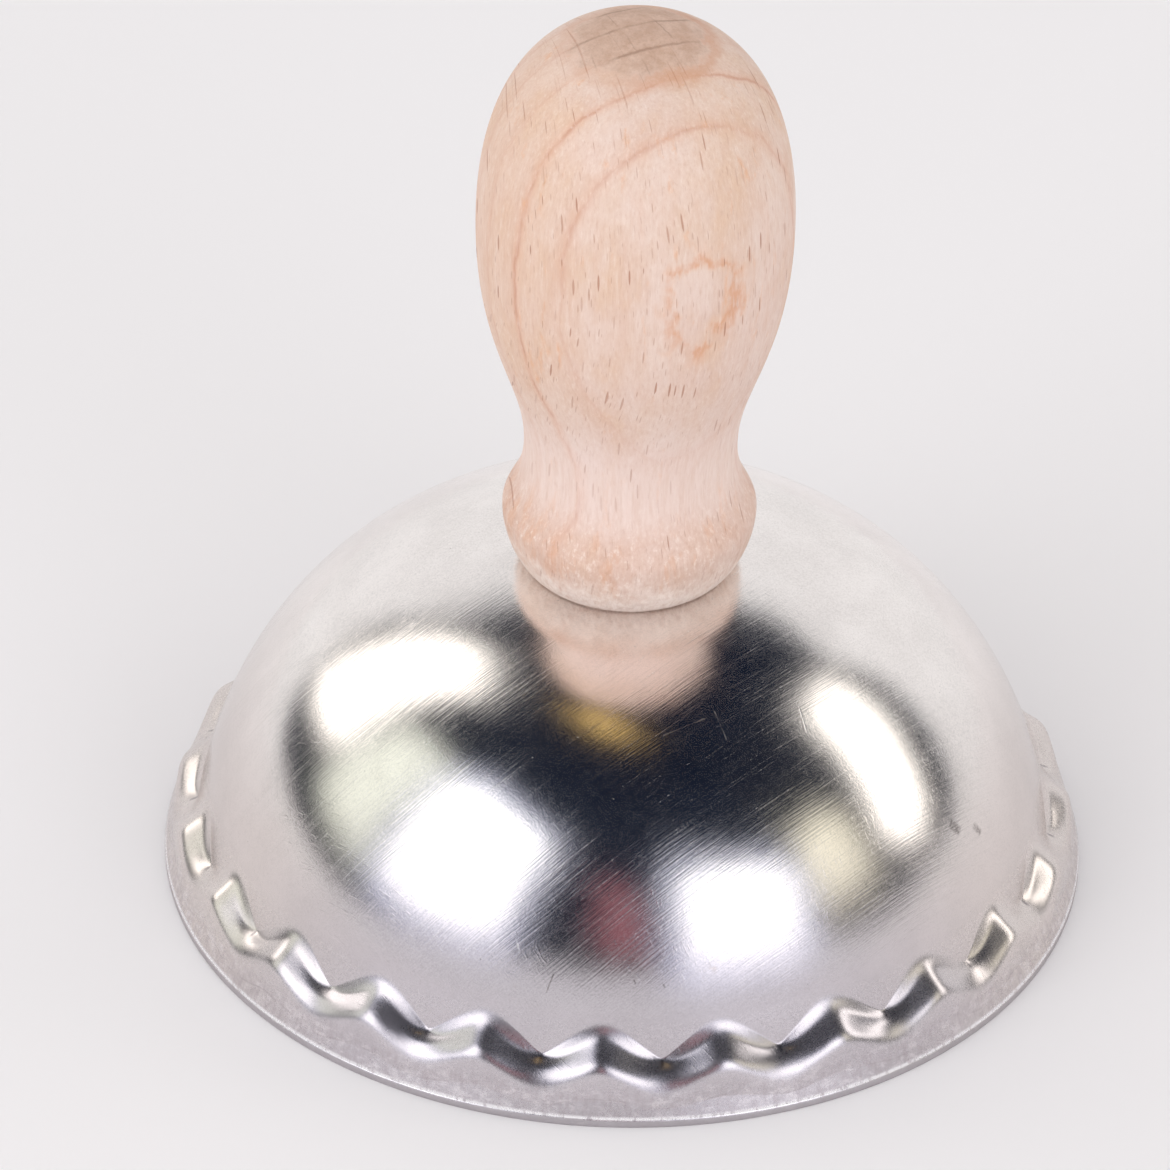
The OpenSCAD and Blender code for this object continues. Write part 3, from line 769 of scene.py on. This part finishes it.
    # the neck is pale, and so is the lower collar, which is torn and whitish and painted lighter
    # still against the shade near the seat
    neck = g.times(up_handle(28.0, 17.0), up_handle(8.0, 13.0))
    colour = g.mix(g.times(neck, g.rise(fibres, 0.40, 0.60, 0.55, 0.35)), colour, BEECH["neck"])
    ragged = g.swing(g.noise(p, 0.35, 4.0, 0.7, seed=13.0), 10.0)
    low = g.fall(g.plus(z, ragged), SEAT_Z + 1.0, SEAT_Z + 7.0)
    fuzz = g.noise(g.stretch(p, 1.0, 0.45), 1.6, 5.0, 0.7, seed=14.0)
    # partly painted light: the torn collar's pale colour also lifts the shade it lies in
    colour = g.mix(g.times(low, g.rise(fuzz, 0.35, 0.62, 0.45, 1.0)), colour, BEECH["torn"])

    torn = g.noise(g.stretch(p, 1.0, 0.4), 1.1, 5.0, 0.72, seed=36.0)
    normal = g.bump(pores, 0.025)
    normal = g.bump(ray, -0.02, normal)
    normal = g.bump(fibres, 0.08, normal)
    normal = g.bump(torn, 0.8, normal, strength=up_handle(18.0, 4.0, 0.08, 0.4))
    return g.principled(colour=colour, rough=g.plus(g.times(pores, 0.25), 0.40), normal=normal,
                        specular=0.4)


# ---------------------------------------------------- small parts

# a dark and a light shade of each
STEEL = (0.42, 0.42, 0.43), (0.58, 0.58, 0.60)
BRASS = (0.55, 0.38, 0.15), (0.78, 0.57, 0.27)
LEATHER = (0.16, 0.085, 0.045), (0.24, 0.14, 0.08)
LEATHER_FIBRE = (0.33, 0.21, 0.13)


def turned_metal(name, dark, light, rough_low, rough_high, seed):
    """Bar stock turned in a lathe, with fine tool marks and a little tarnish."""
    g = Graph(name)
    p = g.place()
    rings = g.noise(g.stretch(p, 0.25, 7.0), 1.0, 3.0, 0.6, seed=seed)
    cloud = g.noise(p, 0.5, 4.0, 0.65, seed=seed + 1)
    spots = g.noise(p, 2.6, 3.0, 0.7, seed=seed + 2)
    colour = g.mix(g.rise(cloud, 0.3, 0.7), dark, light)
    colour = g.mix(g.rise(spots, 0.62, 0.75, 0.0, 0.4), colour, tuple(0.55 * c for c in dark))
    rough = g.rise(g.plus(g.times(rings, 0.5), g.times(cloud, 0.5)), 0.3, 0.7,
                   rough_low, rough_high)
    normal = g.bump(rings, 0.012)
    normal = g.bump(spots, 0.006, normal)
    return g.principled(colour=colour, metal=1.0, rough=rough, normal=normal)


def leather():
    """Brown leather with a pebbled, fibrous surface."""
    g = Graph("washer_leather")
    p = g.place()
    pebbles = g.node("TexVoronoi", {"Vector": p, "Scale": 1.6}).outputs["Distance"]
    cloud = g.noise(p, 0.4, 4.0, 0.6, seed=15.0)
    fibre = g.noise(p, 4.0, 3.0, 0.7, seed=16.0)
    colour = g.mix(g.rise(cloud, 0.3, 0.7), *LEATHER)
    colour = g.mix(g.rise(fibre, 0.5, 0.8, 0.0, 0.5), colour, LEATHER_FIBRE)
    normal = g.bump(pebbles, 0.05)
    normal = g.bump(fibre, 0.03, normal)
    return g.principled(colour=colour, rough=g.rise(fibre, 0.3, 0.7, 0.55, 0.8), normal=normal,
                        specular=0.3)


# ---------------------------------------------------- the bell

def paint(node, material):
    """Gives a CAD node its material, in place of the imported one."""
    slots = nodes[node].data.materials
    slots.clear()
    slots.append(material)


sheet_metal = aluminium()
wood = beech()
steel = turned_metal("turned_steel", *STEEL, rough_low=0.22, rough_high=0.42, seed=40.0)
brass = turned_metal("turned_brass", *BRASS, rough_low=0.20, rough_high=0.40, seed=50.0)
washer = leather()

shell = bell_shell(sheet_metal)
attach(shell, "bell")
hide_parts("bell_shell")

handle = beech_handle(wood)
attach(handle, "bell")
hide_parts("handle")

paint("bell_shell", sheet_metal)
paint("handle", wood)
paint("crown_washer", washer)
for node in ("crown_stud", "clapper_pin", "clapper_rod"):
    paint(node, steel)
for node in ("pin_spacers", "clapper_ball", "ball_lock_nut"):
    paint(node, brass)


# ---------------------------------------------------- the table and the room round it

BACKDROP = tone(240, 239, 240)
TABLE_COLOUR = tone(244, 242, 245)
FILL = (1.0, 0.99, 0.985)
FILL_LEVEL = 0.72
WHITE = (1.0, 0.995, 0.99)
CREAM = (1.0, 0.97, 0.92)
BLUISH = (0.62, 0.70, 1.0)
GREENISH = (0.86, 0.90, 0.80)
OLIVE = (0.83, 0.80, 0.66)
RED = (0.34, 0.13, 0.15)
YELLOW = (1.0, 0.68, 0.24)
NIGHT = (0.003, 0.007, 0.020)

# the room is laid out as seen from EYE, near the bell's foot; lengths are in metres from here on
EYE = Vector((0, 0, 0.025))
ROOM_R = 2.6
ROOM_ROWS, ROOM_COLUMNS = 14, 72
SHOWN_STEPS, LAMP_STEPS = 20, 8
LAMP_BEHIND = 0.02

# the table's rings, from the edge of its hole, just inside the rim's outer edge
TABLE_RADII = [0.0499, 0.06, 0.1, 0.2, 0.30, 0.6, 1.2, 2.0, 3.2]
TABLE_COLUMNS = 96
# how far away, in millimetres, the table turns into the backdrop
TABLE_FADE = 250.0, 700.0


def direction(azimuth, elevation):
    """Azimuth 0 is the front, and 90 the right."""
    a, e = math.radians(azimuth), math.radians(elevation)
    return Vector((math.sin(a) * math.cos(e), -math.cos(a) * math.cos(e), math.sin(e)))


def panel(name, points, levels, columns, rows, material):
    """A sheet of (columns + 1) by (rows + 1) points that only the bell and the table see."""
    starts = [i * (rows + 1) + j for i in range(columns) for j in range(rows)]
    faces = [(k, k + 1, k + rows + 2, k + rows + 1) for k in starts]
    made = add_mesh(name, points, faces, material)
    made.data.attributes.new("level", "FLOAT", "POINT").data.foreach_set("value", levels)
    made.visible_camera = False
    made.visible_shadow = False
    return made


def glow(name, colour, strength, edge=None):
    """A light that fades by the mesh's own "level", towards the edge's colour where it has one."""
    g = Graph(name)
    level = g.node("Attribute", attribute_name="level").outputs["Fac"]
    colour = g.mix(level, edge, colour) if edge else colour
    light = g.node("Emission", {"Color": colour, "Strength": strength}).outputs[0]
    clear = g.node("BsdfTransparent").outputs[0]
    return g.finish(g.mix_shaders(level, clear, light))


def patch(name, corners, steps, distance, fade, material):
    """A straight-edged panel seen from the bell, which fades over so many degrees along its edges.

    Its corners are (azimuth, elevation), round in order.
    """
    points, levels = [], []
    a, b, c, d = (direction(*corner) for corner in corners)
    wide = math.degrees(max(a.angle(b), d.angle(c)))
    tall = math.degrees(max(a.angle(d), b.angle(c)))
    for i in range(steps + 1):
        for j in range(steps + 1):
            u, v = i / steps, j / steps
            points.append(EYE + lerp(lerp(a, b, u), lerp(d, c, u), v).normalized() * distance)
            levels.append(float(smoothstep(0, fade, wide * min(u, 1 - u))
                                * smoothstep(0, fade, tall * min(v, 1 - v))))
    return panel(name, points, levels, steps, steps, material)


def card(name, corners, colour, seen, light=0.0, distance=2.0, fade=5.0, edge=None):
    """A panel that the metal shows at one level and that lights the rest at another."""
    shown = patch(name, corners, SHOWN_STEPS, distance, fade, glow(name, colour, seen, edge))
    shown.visible_diffuse = False
    if light:
        lamp = patch(name + "_light", corners, LAMP_STEPS, distance + LAMP_BEHIND, fade,
                     glow(name + "_light", colour, light))
        lamp.visible_glossy = False


def room_edge(azimuth):
    """The elevation at which the dark room begins: low in front and at the sides, high behind."""
    front = lerp(9, 2, float(smoothstep(30, 80, abs(azimuth))))
    turned_away = min(abs(azimuth + 8), abs(azimuth - 352))
    return front + 43 * float(smoothstep(112, 144, turned_away))


def dark_room():
    """The unlit room in front of the table and above it, which only the metal shows."""
    points = []
    for i in range(ROOM_COLUMNS + 1):
        azimuth = -180 + 360 * i / ROOM_COLUMNS
        for j in range(ROOM_ROWS + 1):
            elevation = lerp(room_edge(azimuth), 90, j / ROOM_ROWS)
            points.append(EYE + direction(azimuth, elevation) * ROOM_R)
    room = panel("dark_room", points, [1.0] * len(points), ROOM_COLUMNS, ROOM_ROWS,
                 glow("dark_room", NIGHT, 1.0))
    room.visible_diffuse = False


def table_material():
    """Matt and pale, plain like the backdrop far away, and clear from below."""
    g = Graph("pale_table")
    x, y, _ = g.separate(g.place())
    away = g.math("SQRT", g.plus(g.times(x, x), g.times(y, y)))
    distant = g.times(g.rise(away, *TABLE_FADE), g.looked_at())
    matt = g.node("BsdfDiffuse", {"Color": TABLE_COLOUR}).outputs[0]
    plain = g.node("Emission", {"Color": BACKDROP, "Strength": 1.0}).outputs[0]
    below = g.node("NewGeometry").outputs["Backfacing"]
    clear = g.node("BsdfTransparent").outputs[0]
    return g.finish(g.mix_shaders(below, g.mix_shaders(distant, matt, plain), clear))


def table():
    """A pale table, with a hole under the bell that lets light in where it is seen from below."""
    angles = [2 * math.pi * i / TABLE_COLUMNS for i in range(TABLE_COLUMNS)]
    points = [(r * math.cos(a), r * math.sin(a), 0) for a in angles for r in TABLE_RADII]
    rows = len(TABLE_RADII)
    starts = [(i * rows + j, (i + 1) % TABLE_COLUMNS * rows + j)
              for i in range(TABLE_COLUMNS) for j in range(rows - 1)]
    faces = [(here, here + 1, beside + 1, beside) for here, beside in starts]
    add_mesh("table", points, faces, table_material())


def pale_world():
    """A plain backdrop where it is looked at, and an even fill light on everything."""
    g = Graph("pale_world", world=True)
    seen = g.node("Background", {"Color": BACKDROP}).outputs[0]
    fill = g.node("Background", {"Color": FILL, "Strength": FILL_LEVEL}).outputs[0]
    bpy.context.scene.world = g.finish(g.mix_shaders(g.looked_at(), fill, seen))


pale_world()
table()
dark_room()
card("softbox_left", [(-77, 0), (-25, 5), (-17, 47), (-78, 57)], WHITE, 2.3, 2.55,
     fade=15.0, edge=BLUISH)
card("softbox_left_edge", [(-106, 6), (-70, 2), (-70, 54), (-104, 48)], GREENISH, 1.2, 1.0,
     distance=2.2, fade=12.0)
card("softbox_right", [(7, 0), (56, 0), (60, 31), (11, 45)], WHITE, 2.3, 2.75,
     fade=15.0, edge=BLUISH)
card("olive_panel", [(48, 4), (80, 6), (81, 39), (52, 41)], OLIVE, 1.4, 1.0,
     distance=2.2, fade=12.0)
card("strip_right", [(74, 13), (97, 0), (137, 46), (101, 58)], CREAM, 2.6, 1.7,
     distance=2.3, fade=12.0)
card("strip_left", [(-98, 15), (-129, 6), (-155, 57), (-112, 64)], CREAM, 2.6, 1.4,
     distance=2.3, fade=12.0)
card("red_panel", [(-9, 11), (9, 11), (5, 36), (-6, 36)], RED, 1.3, distance=2.3)
card("yellow_panel", [(-104, 76.5), (-16, 81), (66, 84.6), (-150, 78.7)], YELLOW, 1.0,
     distance=2.3, fade=4.0)


# ---------------------------------------------------- camera

def camera():
    """One metre from the rim's centre, about 37 degrees above the table, turned a little."""
    away, height = 0.8024, 0.5968
    yaw, dip, roll = -0.0057, 0.6112, 0.0185
    forward = Vector((math.sin(yaw) * math.cos(dip), math.cos(yaw) * math.cos(dip), -math.sin(dip)))
    level = Vector((math.cos(yaw), -math.sin(yaw), 0))
    upright = level.cross(forward)
    right = math.cos(roll) * level + math.sin(roll) * upright
    up = -math.sin(roll) * level + math.cos(roll) * upright
    data = bpy.data.cameras.new("camera")
    data.sensor_width = 36
    data.lens = 280.7
    data.clip_start, data.clip_end = 0.01, 20
    made = bpy.data.objects.new("camera", data)
    bpy.context.scene.collection.objects.link(made)
    turn = Matrix((right, up, -forward)).transposed().to_4x4()
    made.matrix_world = Matrix.Translation((0, -away, height)) @ turn
    bpy.context.scene.camera = made


camera()
bpy.context.scene.view_settings.view_transform = "Standard"
